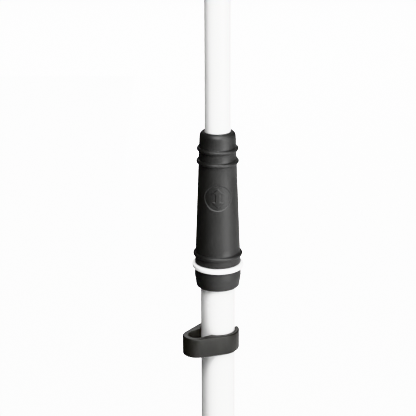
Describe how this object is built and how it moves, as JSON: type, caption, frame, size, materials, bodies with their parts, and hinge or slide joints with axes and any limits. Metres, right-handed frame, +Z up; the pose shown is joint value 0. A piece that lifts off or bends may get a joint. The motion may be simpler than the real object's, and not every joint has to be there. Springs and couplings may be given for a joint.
{
  "type": "telescopic stand column",
  "caption": "Short two-tube telescopic stand column with a twist clutch grip, a threaded foot, a thread adapter on top and a push-on cable clip.",
  "frame": {"origin": "centre of the threaded hole's mouth, at the underside of the foot", "axes": "+Z up along the tubes' axis; the loop of the cable clip points to -X and -Y"},
  "size_m": [0.0446, 0.0406, 0.5902],
  "materials": {
    "white_paint": "gloss white powder coat",
    "white_plastic": "satin white moulded plastic",
    "soft_black": "matte soft-touch black",
    "clip_plastic": "satin moulded black",
    "nut_plastic": "moulded glass-filled black",
    "core_plastic": "moulded grey acetal",
    "nylon": "natural nylon",
    "black_rubber": "moulded rubber",
    "felt": "pressed felt",
    "zinc_steel": "turned, bright zinc plated",
    "nickel": "turned and nickel plated"
  },
  "bodies": {
    "lower_column": {"lower_tube": "white_paint", "base_insert": "zinc_steel", "base_washer": "black_rubber", "base_rivets": "white_paint", "mouth_bush": "nylon", "clutch_core": "core_plastic", "core_rivets": "zinc_steel", "lower_collar": "soft_black", "marker_ring": "white_plastic", "collet": "nylon"},
    "thrust": {"thrust_ring": "core_plastic"},
    "grip": {"clutch_nut": "nut_plastic", "grip_sleeve": "soft_black", "wiper_ring": "felt"},
    "slide_bush": {"guide_bush": "nylon"},
    "upper_column": {"upper_tube": "white_paint", "bush_clips": "zinc_steel", "drop_buffer": "black_rubber", "top_insert": "zinc_steel", "top_stud": "zinc_steel", "adapter_washer": "black_rubber", "thread_adapter": "nickel"},
    "clip": {"cable_clip": "clip_plastic"}
  },
  "joints": [
    {"name": "tube_slide", "type": "slide", "parent": "lower_column", "child": "slide_bush", "axis": [0, 0, 1], "range_m": [-0.12, 0.095]},
    {"name": "tube_swivel", "type": "hinge", "parent": "slide_bush", "child": "upper_column", "pos_m": [0, 0, 0.17], "axis": [0, 0, 1], "continuous": true},
    {"name": "clutch_lift", "type": "slide", "parent": "lower_column", "child": "thrust", "axis": [0, 0, 1], "range_m": [0, 0.0015]},
    {"name": "clutch_turn", "type": "hinge", "parent": "thrust", "child": "grip", "pos_m": [0, 0, 0.34], "axis": [0, 0, 1], "range_deg": [0, 180]},
    {"name": "clip_slide", "type": "slide", "parent": "lower_column", "child": "clip", "axis": [0, 0, 1], "range_m": [-0.23, 0.03]}
  ],
  "couplings": [
    {"joint": "clutch_lift", "follows": "clutch_turn", "m_per_rad": 0.00047746}
  ]
}
